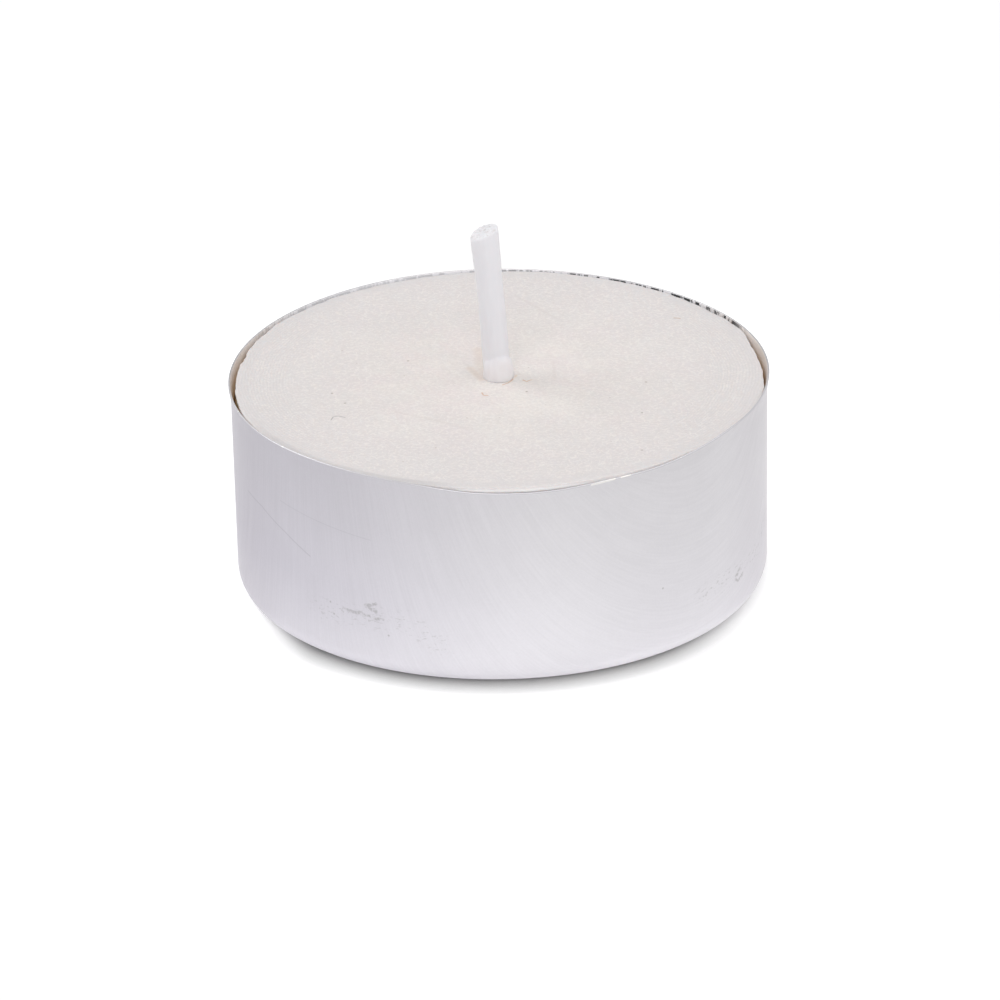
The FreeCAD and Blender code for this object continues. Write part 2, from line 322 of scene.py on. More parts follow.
def makeCup(size):
    # the sheet's middle line offset by half the sheet to each side, joined by a rounded lip
    half = size["sheet"] / 2
    thinHalf = size["edgeSheet"] / 2
    height, waveStart = size["height"], size["waveStart"]
    flareStart = height - size["flareHeight"]
    # the wall's radius where the waves start, on the straight line of its taper
    share = (waveStart - half) / (flareStart - half)
    waveRadius = size["wallBottom"] - half + share * (size["wallTop"] - size["wallBottom"])
    lower = roundedPath([
        (size["innermost"], size["panelRise"] + half, 0),
        (size["panelRadius"] - size["panelSlope"], size["panelRise"] + half, size["panelBend"]),
        (size["panelRadius"], half, size["panelBend"]),
        (size["wallBottom"] - half, half, size["cornerRadius"] - half),
        (waveRadius, waveStart, 0),
    ], size["lowerSpacing"])
    upper = roundedPath([
        (waveRadius, waveStart, 0),
        (size["wallTop"] - half, flareStart, size["flareBend"]),
        (size["rimRadius"] - thinHalf, height - thinHalf, 0),
    ], size["upperSpacing"])
    middle = np.concatenate([lower, upper[1:]])
    thick = half + (thinHalf - half) * near(middle[:, 1:], height, size["thinning"])
    along = np.gradient(middle, axis=0)
    along /= np.linalg.norm(along, axis=1)[:, None]
    outward = np.stack([along[:, 1], -along[:, 0]], axis=1)
    turn = np.linspace(0, np.pi, size["lipRows"] + 2)[1:-1, None]
    lip = middle[-1] + thinHalf * (np.cos(turn) * outward[-1] + np.sin(turn) * along[-1])
    profile = np.concatenate([middle + thick * outward, lip, (middle - thick * outward)[::-1]])
    row = np.arange(len(profile))[:, None]
    edgeRow = len(middle) + size["lipRows"] // 2

    azimuth = compass(size["columns"])
    radii = np.repeat(profile[:, :1], size["columns"], axis=1)
    reach = smooth(profile[:, 1:], waveStart, height)
    heights = profile[:, 1:] + reach * waves(azimuth, size["edgeWaves"]) * mm
    piece = gridObject("cup_visual", turned(radii, heights, azimuth))

    # where each point lay on the flat sheet, from equal areas: radius^2 = r^2 + 2 r z, given
    # across and along the rolling lines
    blank = np.sqrt(radii ** 2 + 2 * radii * np.clip(heights, 0, None)) / mm
    away = np.radians(azimuth - size["grainAzimuth"])
    setAttribute(piece, "blank", blank * np.cos(away), blank * np.sin(away), 0)
    # how far round the wall and how far up it, in mm, and whether the point is on the inside
    around = np.radians(turnFrom(0, azimuth)) * size["wallTop"] / mm
    inside = (row > edgeRow).astype(float)
    setAttribute(piece, "unrolled", around, heights / mm, inside)
    # distance from the cut edge along the sheet, in mm
    steps = np.linalg.norm(np.diff(profile, axis=0, prepend=profile[:1]), axis=1)
    travel = np.cumsum(steps)[:, None]
    toEdge = abs(travel - travel[edgeRow]) / mm
    setAttribute(piece, "edge", toEdge, 0 * radii, 0)
    return piece


cupPiece = makeCup(cup)
print("cup made")


# wax

wax = dict(
    top=waxHigh.z,
    bottom=waxLow.z,
    # pressed out to the wall, which the solid clears by 0.2 mm
    radius=waxHigh.x + 0.2 * mm,
    # how far the top edge spreads into the flare
    spread=0.17 * mm,
    bevelWidth=0.42 * mm,
    bevelHeight=0.15 * mm,
    bevelBend=0.15 * mm,
    shoulderBend=0.08 * mm,
    # how much of the bevel's height is filled up where it isn't worn
    bevelFilled=0.8,
    bottomBevel=1.5 * mm,
    boreRadius=0.9 * mm,
    # where the top edge stands back from the wall, with its steps and chips: azimuth, width in
    # degrees and radial size in mm
    edgeWaves=((6, 30, 0.11), (-44, 18, -0.1), (-89.5, 13, -0.28), (-102.5, 6, -0.31), (-115.5, 7, -0.25),
               (-110, 1.5, -0.1), (-99, 0.9, 0.08), (-130, 5, -0.12), (-138, 1.2, -0.1), (87, 5, -0.16),
               (98, 8, -0.4), (105, 3.5, -0.14), (117, 0.9, -0.1), (125, 4, -0.14), (132, 1.2, -0.1)),
    # where the bevel is worn most: azimuth, width in degrees and share
    bevelWaves=((-45, 24, 0.9), (139, 26, 0.9), (-150, 24, 0.6)),
    # how uneven the edge is in mm
    ragged=0.045,
    # the top's relief: height in mm, cell in mm and seed of each layer
    relief=((0.02, 3.1, 5), (0.012, 0.8, 6), (0.008, 0.45, 7)),
    # where each change of the edge comes in, as two distances from the side or the top
    sideBand=(1.2 * mm, 0.1 * mm),
    spreadBand=(0.8 * mm, 0.3 * mm),
    waveBand=(1.7 * mm, 0.7 * mm),
    bevelBand=(0.7 * mm, 0.2 * mm),
    reliefBand=(0.5 * mm, 0.0),
    # the grid: columns, and spacing of its rows under the puck, up its side, near the edge,
    # across the top and down the bore
    columns=576,
    lowSpacing=2.5 * mm,
    sideSpacing=0.4 * mm,
    edgeSpacing=0.13 * mm,
    topSpacing=0.22 * mm,
    boreSpacing=3.0 * mm,
    # distances from the top and the side at which that spacing changes
    sideDepth=4.0 * mm,
    edgeDepth=1.0 * mm,
    edgeInset=2.0 * mm,
)


def makeWax(size):
    # a ring-shaped outline: along the bottom from the bore, up the side, in over the top and
    # down the bore
    top, bottom, radius, bore = size["top"], size["bottom"], size["radius"], size["boreRadius"]
    sideStart, edgeStart = top - size["sideDepth"], top - size["edgeDepth"]
    edgeEnd = radius - size["edgeInset"]
    under = roundedPath([(bore, bottom, 0), (radius - size["bottomBevel"], bottom, 0),
                         (radius, bottom + size["bottomBevel"], 0), (radius, sideStart, 0)],
                        size["lowSpacing"])
    side = roundedPath([(radius, sideStart, 0), (radius, edgeStart, 0)], size["sideSpacing"])[1:]
    over = roundedPath([(radius, edgeStart, 0), (radius, top - size["bevelHeight"], size["shoulderBend"]),
                        (radius - size["bevelWidth"], top, size["bevelBend"]), (edgeEnd, top, 0)],
                       size["edgeSpacing"])[1:]
    across = roundedPath([(edgeEnd, top, 0), (bore, top, 0)], size["topSpacing"])[1:]
    down = roundedPath([(bore, top, 0), (bore, bottom, 0)], size["boreSpacing"])[1:-1]
    profile = np.concatenate([under, side, over, across, down])
    azimuth = compass(size["columns"])
    radii = np.repeat(profile[:, :1], size["columns"], axis=1)
    heights = np.repeat(profile[:, 1:], size["columns"], axis=1)

    # the bevel is filled up except where it is worn
    filled = size["bevelHeight"] * (1 - waves(azimuth, size["bevelWaves"]))
    filled = filled * smooth(radii, radius - size["bevelWidth"], radius)
    filled = filled * near(heights, top, size["bevelBand"])
    # the edge spreads, stands back in waves, and is ragged in cells 5/3 degrees by 1.25 mm
    spread = near(heights, top, size["spreadBand"])
    ragged = size["ragged"] * cloud(azimuth * 3, heights / mm * 4, cell=5, seed=3)
    reach = waves(azimuth, size["edgeWaves"]) * near(heights, top, size["waveBand"]) + ragged * spread
    radii = radii + near(radii, radius, size["sideBand"]) * (size["spread"] * spread + reach * mm)
    places = turned(radii, heights + size["bevelFilled"] * filled, azimuth)
    # the relief's lattice starts 40 mm to the left of the axis and in front of it
    x, y = places[..., 0] / mm + 40, places[..., 1] / mm + 40
    places[..., 2] += near(heights, top, size["reliefBand"]) * clouds(x, y, size["relief"]) * mm
    return gridObject("wax_visual", places, ring=True)


waxPiece = makeWax(wax)
print("wax made")


# wick

wick = dict(
    foot=wickLow.z,
    waxTop=waxHigh.z,
    radius=0.95 * mm,
    # the rest is in mm and degrees; the middle line as (height, x)
    line=((0.8, 0.0), (13.0, -0.02), (15.1, -0.07), (18.0, -0.23), (21.0, -0.42), (23.4, -0.62),
          (27.0, -0.91)),
    cutHeight=26.36,
    cutSlope=23.0,
    cutTilt=-3.0,
    cutRounding=0.2,
    # the cut squeezes the end wider, more and more between two heights
    cutSpread=0.07,
    spreadHeights=(22.0, 25.8),
    # crumbs on the cut: height, cell and seed of each layer
    crumbs=((0.05, 0.25, 11), (0.03, 0.125, 12)),
    # fibres up the side: depth, degrees round, length and seed of each layer
    fibres=((0.012, 12, 6, 21), (0.01, 30, 1, 22)),
    # the bead of wax at the foot: its middle's azimuth and height over the wax, half its size
    # both ways, how deep, how lumpy, and the power that rounds it
    bead=dict(azimuth=20, middle=0.1, width=98, halfHeight=1.75, depth=0.38, lumps=0.15, power=0.7),
    # the grid: columns, rows up the side, round the cut's edge and across the cut, and the
    # radius of its innermost row
    columns=128,
    sideRows=230,
    edgeRows=7,
    capRows=24,
    innermost=0.02,
)


def makeWick(size):
    # rings round the middle line up to the slanted cut, a rounded edge, then rings across the
    # cut to its middle; the cut lies at z = h + x tan(slope) - y tan(tilt)
    line = np.array(size["line"])
    radius = size["radius"] / mm
    foot = size["foot"] / mm
    rounding = size["cutRounding"]
    azimuth = compass(size["columns"])
    angle = np.radians(azimuth)

    turn = np.linspace(0, np.pi / 2, size["edgeRows"] + 1)[1:, None]
    reach = np.concatenate([
        np.full((size["sideRows"], 1), radius),
        radius - rounding * (1 - np.cos(turn)),
        np.linspace(radius - rounding, size["innermost"], size["capRows"])[1:, None],
    ])
    below = np.concatenate([
        np.full((size["sideRows"], 1), rounding),
        rounding * (1 - np.sin(turn)),
        np.zeros((size["capRows"] - 1, 1)),
    ])
    x, y = reach * np.sin(angle), -reach * np.cos(angle)
    slope, tilt = (math.tan(math.radians(size[key])) for key in ("cutSlope", "cutTilt"))
    # the crumbs' lattice starts 15 mm to the left of the axis and in front of it
    crumbs = clouds(x + 15, y + 15, size["crumbs"])
    ceiling = size["cutHeight"] + x * slope - y * tilt + crumbs * smooth(below, rounding, 0)
    share = np.ones((len(reach), 1))
    share[:size["sideRows"], 0] = np.linspace(0, 1, size["sideRows"])
    heights = foot + share * (ceiling - below - foot)

    spread = size["cutSpread"] * smooth(heights, *size["spreadHeights"])
    bead = size["bead"]
    around = turnFrom(bead["azimuth"], azimuth) / bead["width"]
    up = (heights - size["waxTop"] / mm - bead["middle"]) / bead["halfHeight"]
    # lumps 22 degrees wide and 2/3 mm high
    lumps = bead["lumps"] * cloud(azimuth / 22, heights * 1.5, cell=1, seed=23)
    swell = bead["depth"] * np.clip(1 + lumps - around ** 2 - up ** 2, 0, 1) ** bead["power"]
    fibres = sum(depth * cloud(azimuth / width, heights / length + 5, cell=1, seed=seed)
                 for depth, width, length, seed in size["fibres"])
    wide = reach + (swell + fibres + spread) * smooth(reach, 0.5 * radius, radius)
    middle = np.interp(heights, line[:, 0], line[:, 1])
    places = np.stack([middle + wide * np.sin(angle), -wide * np.cos(angle), heights], axis=-1) * mm
    piece = gridObject("wick_visual", places)
    # how much of the bead is here, and whether this is the cut
    setAttribute(piece, "zones", swell / bead["depth"], smooth(below, 0.9 * rounding, 0), 0)
    return piece


wickPiece = makeWick(wick)
print("wick made")


# aluminium of the cup

sheetColours = dict(
    low=rgb(226, 224, 228),
    high=rgb(210, 208, 211),
    left=rgb(235, 234, 239),
    ends=rgb(245, 244, 245),
    scuffs=rgb(120, 118, 112),
    scratches=rgb(110, 108, 118),
    frontLip=rgb(194, 192, 196),
    backLip=rgb(218, 214, 215),
    brinkReflection=rgb(138, 139, 143),
    paintedGlints=rgb(250, 247, 240),
    frontSmear=rgb(234, 225, 219),
    backSmear=rgb(232, 231, 234),
    paintedGapGlow=rgb(252, 219, 172),
    reflectionDashes=rgb(55, 57, 58),
)

# marks on the wall, each point as mm round it from the front and mm up it
wallMarks = dict(
    scuffs=(((-12.0, 4.5), (-10.5, 4.5), (-8.7, 4.4)), ((-9.2, 5.5), (-10.1, 5.2), (-9.2, 4.9)),
            ((20.5, 4.0), (19.7, 3.6), (20.2, 3.2), (20.9, 3.4))),
    scuffWidth=0.16,
    # bands in which flecks run along the grain
    leftBand=((-14.2, 3.9), (-7.0, 4.6), (-4.4, 3.0)),
    leftWidth=1.3,
    rightBand=((15.6, 3.9), (24.0, 4.0), (27.0, 5.5)),
    rightWidth=1.1,
    dots=((-13.1, 4.75), (-12.8, 3.9), (-8.3, 3.26), (11.9, 5.6), (26.1, 7.1)),
    dotRadius=0.11,
    scratch=((-23.1, 9.71), (-20.6, 9.52), (-17.5, 8.67), (-14.9, 7.72)),
    scratchWidth=0.07,
    faintScratch=((-18.0, 10.96), (-13.8, 10.66), (-9.5, 10.35)),
    faintWidth=0.06,
    # painted highlights on the cut edge
    longGlint=((6.3, 14.88), (8.0, 15.0)),
    longGlintWidth=0.11,
    shortGlint=((8.5, 15.02), (9.2, 15.06)),
    shortGlintWidth=0.1,
    sparks=((-17.3, 15.42), (-24.4, 15.35), (13.5, 15.28)),
    sparkRadius=0.16,
)


def aluminium(tones, marks):
    shader = Shader("satin aluminium")
    blank = shader.attribute("blank")
    unrolled = shader.attribute("unrolled")
    inside = shader.parts(unrolled)[2]
    toEdge = shader.parts(shader.attribute("edge"))[0]
    place = shader.millimetres()
    sideways, depth, height = shader.parts(place)[0:3]
    wall = shader.stretched(unrolled, 1, 1, 0)

    # rolling lines: noise drawn out along the lines
    fine = shader.noise(shader.stretched(blank, 7.0, 0.2, 1), 1.0, 3.0, 0.6)
    broad = shader.noise(shader.stretched(blank, 1.1, 0.07, 1), 1.0, 2.0, 0.5)
    smudge = shader.noise(place, 0.16, 3.0, 0.6)
    # painted shade: the wall is coloured darker up its height, on the left and at both ends, for how light
    # falls
    upper = shader.step(height, 1.0, 15.0)
    left = shader.times(shader.step(sideways, 6.0, -17.0), shader.step(height, 0.0, 7.0, 0.45, 1.0))
    ends = shader.step(shader.absolute(sideways), 15.0, 18.5)
    colour = shader.mix(upper, tones["low"], tones["high"])
    colour = shader.mix(left, colour, tones["left"], "MULTIPLY")
    colour = shader.mix(ends, colour, tones["ends"], "MULTIPLY")
    tone = shader.plus(
        shader.step(fine, 0.3, 0.7, -0.014, 0.014),
        shader.step(broad, 0.3, 0.7, -0.007, 0.007),
        shader.step(shader.noise(place, 6.0, 2.0, 0.6), 0.3, 0.7, -0.01, 0.01),
        shader.step(smudge, 0.3, 0.7, 0.985, 1.015))
    colour = shader.vector("SCALE", colour, tone)

    # scuffs low on the wall, flecks and dots near them, and two long scratches
    tremble = shader.vector("SUBTRACT", shader.noiseVector(place, 2.0), (0.5, 0.5, 0.5))
    rubbed = shader.vector("ADD", wall, shader.stretched(tremble, 0.5, 0.5, 0))
    grit = shader.noise(place, 4.0, 3.0, 0.7)
    scuffs = shader.lines(rubbed, marks["scuffs"], marks["scuffWidth"])
    scuffs = shader.times(scuffs, shader.step(grit, 0.35, 0.55, 0.1, 1.0))
    flecks = shader.noise(shader.stretched(wall, 2.2, 4.2, 1), 1.0, 3.0, 0.65)
    bands = shader.most(shader.line(wall, marks["leftBand"], marks["leftWidth"]),
                        shader.line(wall, marks["rightBand"], marks["rightWidth"]))
    flecks = shader.times(shader.step(flecks, 0.55, 0.66), bands)
    scuffs = shader.most(scuffs, shader.times(flecks, 0.6))
    dots = shader.dots(wall, marks["dots"], marks["dotRadius"])
    dark = shader.most(shader.times(scuffs, 0.36), shader.times(dots, 0.4))
    colour = shader.mix(shader.times(dark, shader.minus(1.0, inside)), colour, tones["scuffs"])
    scratch = shader.line(wall, marks["scratch"], marks["scratchWidth"])
    faint = shader.line(wall, marks["faintScratch"], marks["faintWidth"])
    scratch = shader.most(scratch, shader.times(faint, 0.5))
    colour = shader.mix(shader.times(scratch, 0.2), colour, tones["scratches"])

    # the cut edge: its tone is painted light, darker in front and lighter at the back
    lip = shader.step(toEdge, 0.18, 0.08)
    back = shader.step(depth, -6.0, 2.0)
    colour = shader.mix(lip, colour, shader.mix(back, tones["frontLip"], tones["backLip"]))
    # painted reflection: a dark line along the back's cut edge, broken by nicks
    brinkReflection = shader.times(
        shader.step(toEdge, 0.11, 0.05), back,
        shader.step(grit, 0.35, 0.65, 0.6, 1.0),
        shader.step(shader.absolute(sideways), 4.0, 10.0, 0.35, 0.9))
    colour = shader.mix(brinkReflection, colour, tones["brinkReflection"])
    # a few painted glints in front
    paintedGlints = shader.most(
        shader.line(wall, marks["longGlint"], marks["longGlintWidth"]),
        shader.line(wall, marks["shortGlint"], marks["shortGlintWidth"]),
        shader.dots(wall, marks["sparks"], marks["sparkRadius"]))
    colour = shader.mix(shader.times(paintedGlints, 0.55), colour, tones["paintedGlints"])

    # wax smears the inside; deep in the gap a warm tan is painted light, the wax's glow reflected
    rearward = shader.step(depth, 6.0, 14.0)
    smear = shader.times(inside, shader.step(toEdge, 0.02, 0.15))
    colour = shader.mix(smear, colour, shader.mix(rearward, tones["frontSmear"], tones["backSmear"]))
    paintedGapGlow = shader.times(inside, shader.step(toEdge, 0.5, 2.5))
    colour = shader.mix(paintedGapGlow, colour, tones["paintedGapGlow"])
    # painted reflection: dark dashes run along the inside of the back's edge
    reflectionDashes = shader.noise(shader.stretched(place, 1, 1, 0.2), 2.1, 3.0, 0.65)
    reflectionDashes = shader.times(
        shader.step(toEdge, 0.06, 0.12), shader.step(toEdge, 0.42, 0.3),
        shader.step(depth, 6.0, 9.0), inside,
        shader.step(sideways, -4.0, 9.0, 0.25, 1.0),
        shader.step(reflectionDashes, 0.44, 0.54))
    colour = shader.mix(reflectionDashes, colour, tones["reflectionDashes"])

    surface = shader.add("BsdfPrincipled", {
        "Base Color": colour, "Metallic": shader.step(smear, 0.0, 1.0, 1.0, 0.1),
        "Roughness": shader.step(fine, 0.3, 0.7, 0.4, 0.34),
        "Normal": shader.bump(fine, 0.15, 0.01 * mm)})
    return shader.finish(surface.outputs[0])


# paraffin of the puck

waxColours = dict(
    dull=rgb(228, 222, 219),
    bright=rgb(234, 228, 224),
    rosy=rgb(231, 221, 220),
    outer=rgb(223, 218, 218),
    seams=rgb(244, 239, 234),
    grit=rgb(206, 200, 198),
    edge=rgb(217, 214, 215),
    bevel=rgb(252, 250, 250),
    corner=rgb(180, 178, 180),
    rings=rgb(205, 202, 202),
    stainAndShade=rgb(216, 190, 168),
    foot=rgb(228, 204, 176),
    cracks=rgb(205, 150, 100),
    creases=rgb(198, 187, 181),
    specks=rgb(110, 92, 72),
    pits=rgb(150, 130, 112),
    fibre=rgb(150, 148, 146),
    fleck=rgb(190, 160, 140),
    side=rgb(244, 220, 182),
)

# marks on its top, each point as (x, y) in mm
waxMarks = dict(
    # tan stain behind the wick, painted shade to its left and in a broken brown line round its foot
    stainAndShade=((-1.35, 4.6), (-1.1, 0.2)),
    stainWidth=0.75,
    wedge=((-2.0, 1.3), (-1.2, -0.6)),
    wedgeWidth=0.5,
    foot=((-0.1, -1.45), (0.75, -1.15), (1.25, -0.1)),
    footWidth=0.16,
    cracks=(((0.28, -1.7), (0.64, -1.4), (1.0, -0.75)), ((1.67, -0.91), (1.98, -1.18), (2.34, -0.94)),
            ((-1.24, -3.02), (-1.14, -3.37), (-0.86, -3.47))),
    crackWidth=0.09,
    longCrease=((-7.32, -5.99), (-4.6, -7.5), (-2.43, -8.97)),
    longCreaseWidth=0.24,
    creases=(((1.3, 14.35), (4.13, 10.0)), ((3.87, 2.14), (3.97, -0.67)), ((-2.52, 2.47), (-1.3, -0.5))),
    creaseWidth=0.2,
    specks=((-6.43, 2.85), (-10.84, -4.27), (9.96, -7.03), (9.8, -13.29), (10.38, -1.7),
            (-11.78, -2.49), (1.94, -2.96)),
    speckRadius=0.13,
    fibre=((-11.79, -7.14), (-11.66, -6.63), (-11.31, -6.48), (-10.82, -6.76)),
    fibreWidth=0.07,
    fleck=((12.69, 9.56), (13.11, 9.45)),
    fleckWidth=0.1,
)


def paraffin(size, tones, marks):
    shader = Shader("pressed paraffin")
    top = size["top"] / mm
    place = shader.millimetres()
    height = shader.parts(place)[2]
    flat = shader.stretched(place, 1, 1, 0)
    across, depth = shader.parts(flat)[0:2]
    side = shader.absolute(across)
    radius = shader.vector("LENGTH", flat)
    front = shader.step(depth, -10.0, -15.0)
    edge = shader.step(shader.minus(radius, shader.times(front, 0.3)), 17.3, 18.3)

    # granules in a network of brighter seams, over grit and broad mottling
    wobble = shader.noiseVector(place, 1.5)
    bent = shader.vector("ADD", place, shader.vector("SCALE", wobble, 0.5))
    cells = shader.add("TexVoronoi", {"Vector": bent, "Scale": 2.3}, feature="DISTANCE_TO_EDGE")
    seams = shader.step(cells.outputs["Distance"], 0.0, 0.16, 1.0, 0.0)
    grit = shader.noise(place, 4.5, 3.0, 0.65)
    patches = shader.noise(place, 0.22, 3.0, 0.55)
    rosy = shader.noise(shader.vector("ADD", place, (31, 17, 0)), 0.3, 3.0, 0.55)
    colour = shader.mix(shader.step(patches, 0.35, 0.65), tones["dull"], tones["bright"])
    colour = shader.mix(shader.step(rosy, 0.4, 0.7, 0.0, 0.7), colour, tones["rosy"])
    colour = shader.mix(shader.step(radius, 5.0, 17.0, 0.0, 0.75), colour, tones["outer"])
    present = shader.times(seams, shader.step(grit, 0.42, 0.6, 0.08, 0.52),
                           shader.step(edge, 0.0, 1.0, 1.0, 0.7))
    colour = shader.mix(present, colour, tones["seams"])
    colour = shader.mix(shader.step(grit, 0.3, 0.6, 0.25, 0.0), colour, tones["grit"])
    # greyer at the edge; painted light whitens the front's bevel, painted shade darkens the worn corner at
    # the left
    colour = shader.mix(shader.times(edge, 0.35), colour, tones["edge"])
    bevel = shader.times(shader.step(height, top - 0.07, top - 0.27), front)
    colour = shader.mix(shader.times(bevel, 0.75), colour, tones["bevel"])
    # painted shade where the lip meets the worn corner at the left front
    corner = shader.times(shader.step(radius, 18.25, 18.65), shader.step(across, -2.0, -6.0),
                          shader.step(depth, -6.0, -11.0))
    colour = shader.mix(shader.times(corner, 0.4), colour, tones["corner"])

    # fine turning marks towards the rim, strongest at the left and right
    rings = shader.times(shader.plus(radius, shader.times(patches, 0.6)), 28.6)
    sector = shader.times(shader.step(side, 10.0, 15.0), shader.step(radius, 13.5, 16.0))
    sector = shader.times(sector, shader.step(grit, 0.3, 0.55, 0.3, 1.0))
    rings = shader.times(shader.math("SINE", rings), sector)
    colour = shader.mix(shader.times(shader.most(rings, 0.0), 0.28), colour, tones["rings"])

    # tan stain at the wick, painted shade to its left and in the line round its foot
    stainAndShade = shader.line(flat, marks["stainAndShade"], marks["stainWidth"])
    wedge = shader.line(flat, marks["wedge"], marks["wedgeWidth"])
    stainAndShade = shader.most(shader.times(stainAndShade, 0.5), shader.times(wedge, 0.65))
    colour = shader.mix(shader.times(stainAndShade, 0.4), colour, tones["stainAndShade"])
    foot = shader.line(flat, marks["foot"], marks["footWidth"])
    foot = shader.times(foot, shader.step(shader.noise(place, 2.2, 2.0, 0.6), 0.4, 0.6))
    colour = shader.mix(shader.times(foot, 0.45), colour, tones["foot"])
    # cracks and creases, along wavering lines: bumped, and darkened with painted shade
    waver = shader.vector("SCALE", shader.vector("SUBTRACT", wobble, (0.5, 0.5, 0.5)), 0.35)
    bent = shader.stretched(shader.vector("ADD", flat, waver), 1, 1, 0)
    cracks = shader.lines(bent, marks["cracks"], marks["crackWidth"])
    colour = shader.mix(shader.times(cracks, 0.6), colour, tones["cracks"])
    creases = shader.most(shader.line(bent, marks["longCrease"], marks["longCreaseWidth"]),
                          shader.lines(bent, marks["creases"], marks["creaseWidth"]))
    creases = shader.times(creases, shader.step(grit, 0.35, 0.6, 0.3, 1.0))
    colour = shader.mix(shader.times(creases, 0.18), colour, tones["creases"])
    # specks, a few scattered pits, a fibre and a fleck
    specks = shader.dots(flat, marks["specks"], marks["speckRadius"])
    colour = shader.mix(shader.times(specks, 0.5), colour, tones["specks"])
    scattered = shader.add("TexVoronoi", {"Vector": flat, "Scale": 0.9}).outputs
    few = shader.step(shader.parts(scattered["Color"])[0], 0.9, 0.92)
    pits = shader.times(shader.step(scattered["Distance"], 0.09, 0.03), few)
    colour = shader.mix(shader.times(pits, 0.35), colour, tones["pits"])
    fibre = shader.line(flat, marks["fibre"], marks["fibreWidth"])
    colour = shader.mix(shader.times(fibre, 0.6), colour, tones["fibre"])
    fleck = shader.line(flat, marks["fleck"], marks["fleckWidth"])
    colour = shader.mix(shader.times(fleck, 0.7), colour, tones["fleck"])
    # painted light down the side where the gap is open: warm tan for light through the wax
    low = shader.step(height, top - 0.25, top - 0.7)
    colour = shader.mix(shader.times(low, shader.step(side, 16.0, 18.0)), colour, tones["side"])

    relief = shader.plus(shader.times(seams, 0.6), grit)
    relief = shader.times(relief, shader.step(edge, 0.0, 1.0, 1.0, 0.35))
    relief = shader.minus(relief, shader.times(rings, 0.3))
    relief = shader.minus(relief, shader.plus(shader.times(creases, 0.5), cracks))
    surface = shader.add("BsdfPrincipled", {
        "Base Color": colour, "Roughness": 0.55, "Specular IOR Level": 0.35,
        "Normal": shader.bump(relief, 0.3, 0.05 * mm),
        "Subsurface Weight": 0.4, "Subsurface Radius": (1.0, 0.8, 0.7), "Subsurface Scale": 0.4 * mm})
    return shader.finish(surface.outputs[0])


# cotton of the wick

wickColours = dict(
    hollows=rgb(229, 228, 232),
    threads=rgb(235, 234, 237),
    bead=rgb(236, 231, 231),
    clots=rgb(186, 176, 168),
)


def waxedCotton(tones):
    shader = Shader("waxed cotton")
    place = shader.millimetres()
    bead, cut = shader.parts(shader.attribute("zones"))[0:2]
    threads = shader.noise(shader.stretched(place, 3.5, 3.5, 0.35), 1.0, 3.0, 0.6)
    colour = shader.mix(threads, tones["hollows"], tones["threads"])
    colour = shader.mix(shader.step(bead, 0.0, 0.8, 0.0, 0.6), colour, tones["bead"])
    # brownish clots on the cut
    clots = shader.times(cut, shader.step(shader.noise(place, 3.2, 4.0, 0.7), 0.5, 0.66))
    colour = shader.mix(shader.times(clots, 0.5), colour, tones["clots"])
    surface = shader.add("BsdfPrincipled", {
        "Base Color": colour, "Roughness": 0.42, "Specular IOR Level": 0.4,
        "Normal": shader.bump(threads, 0.25, 0.05 * mm),
        "Subsurface Weight": 0.6, "Subsurface Radius": (1.0, 0.9, 0.9), "Subsurface Scale": 0.5 * mm})
    return shader.finish(surface.outputs[0])


# tin plate of the hidden sustainer

tinColours = dict(
    dull=rgb(205, 205, 200),
    bright=rgb(222, 222, 218),
)


def tinPlate(tones):
    shader = Shader("tin plate")
    tone = shader.noise(shader.millimetres(), 3.0, 4.0, 0.6)
    colour = shader.mix(tone, tones["dull"], tones["bright"])
    surface = shader.add("BsdfPrincipled", {"Base Color": colour, "Metallic": 1.0, "Roughness": 0.3})
    return shader.finish(surface.outputs[0])


dressed = (
    (cupPiece, "cup", aluminium(sheetColours, wallMarks)),
    (waxPiece, "wax", paraffin(wax, waxColours, waxMarks)),
    (wickPiece, "wick", waxedCotton(wickColours)),
)
for piece, node, material in dressed:
    piece.data.materials.append(material)
    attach(piece, "root")
    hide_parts(node)
tin = tinPlate(tinColours)
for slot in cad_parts["wick_sustainer"].material_slots:
    slot.material = tin
print("materials made")


# stage and light

stage = dict(
    floorSize=8.0,
    floorDrop=0.01 * mm,
    aim=Vector((0, 0, 7 * mm)),
    distance=540 * mm,
    elevation=24.627,
    roll=1.177,
    lens=272.9,
    sensor=36,
    farClip=20,
    floorColour=rgb(250, 250, 250),
    shift=(-0.00095, -0.01876),
    ambient=0.505,
    # directions (x, y) and elevation of the four lamps, and each one's share of the light
    lamps=((10, -9.9, 39, 0.09), (-11.4, 4.8, 43, 0.18), (10.4, 2.3, 47, 0.1), (-1.9, -14, 39, 0.16)),
    lampDistance=1.6,
    lampSize=1.1,
    # the dark line of contact: how far the floor looks for the cup, the x in mm between which
    # the line fades in at each side, and how steeply the lift goes and the shade comes
    contactReach=2.6 * mm,
    contactLeft=(-18.5, -13.0),
    contactRight=(23.5, 10.0),
    contactShadowColour=rgb(169, 169, 167),
    liftPower=3.0,
    shadePower=1.4,
)


